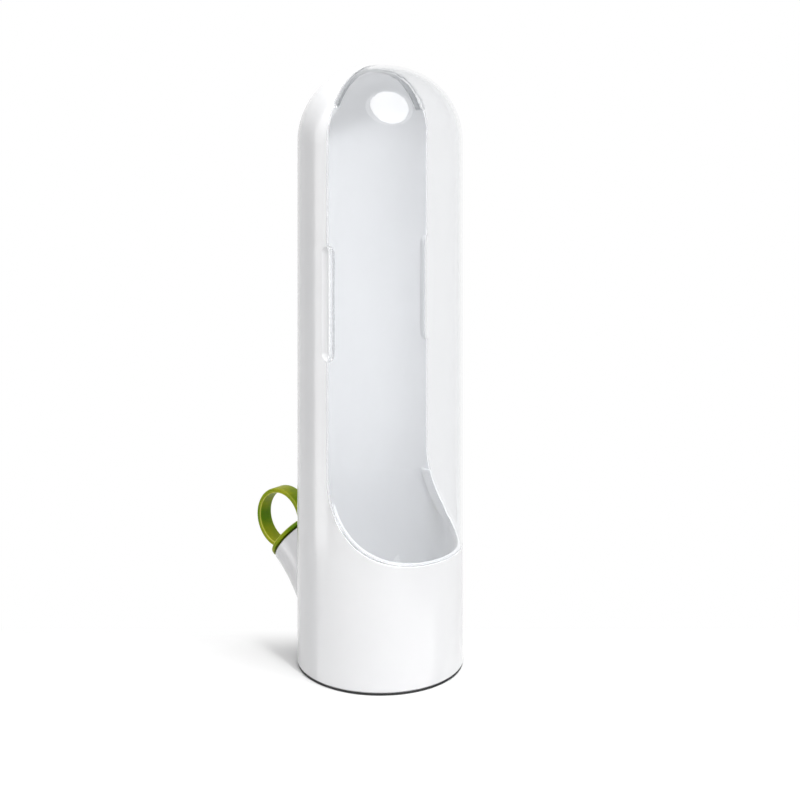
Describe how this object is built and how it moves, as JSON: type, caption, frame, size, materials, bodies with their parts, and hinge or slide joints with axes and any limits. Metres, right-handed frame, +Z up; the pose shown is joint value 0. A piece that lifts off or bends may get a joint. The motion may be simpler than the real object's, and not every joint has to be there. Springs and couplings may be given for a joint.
{
  "type": "herb keeper",
  "caption": "Slim upright pod that keeps cut herbs in water, with a clear pull-off front and a ring stopper in its slanted filling spout.",
  "frame": {"origin": "centre of the foot ring's tread, on the pod's axis in the plane that it stands on", "axes": "+Z up along the pod's axis; -Y towards the clear front cover; +Y towards the filling spout; +X to the right seen from the back"},
  "size_m": [0.076, 0.1117, 0.273],
  "materials": {
    "white_plastic": "glossy white moulding",
    "clear_plastic": "clear, polished",
    "lime_silicone": "satin lime green silicone",
    "cap_plastic": "fine satin white moulding",
    "seal_rubber": "matt black",
    "foot_rubber": "matt charcoal"
  },
  "bodies": {
    "pod": {"body_shell": "white_plastic", "bottom_cap": "cap_plastic", "seal_ring": "seal_rubber", "foot_ring": "foot_rubber"},
    "cover": {"front_cover": "clear_plastic"},
    "stopper": {"ring_stopper": "lime_silicone"}
  },
  "joints": [
    {"name": "cover_pull", "type": "slide", "parent": "pod", "child": "cover", "axis": [0, -1, 0], "range_m": [0, 0.085]},
    {"name": "stopper_pull", "type": "slide", "parent": "pod", "child": "stopper", "axis": [0, 0.766, 0.6428], "range_m": [0, 0.03]}
  ]
}
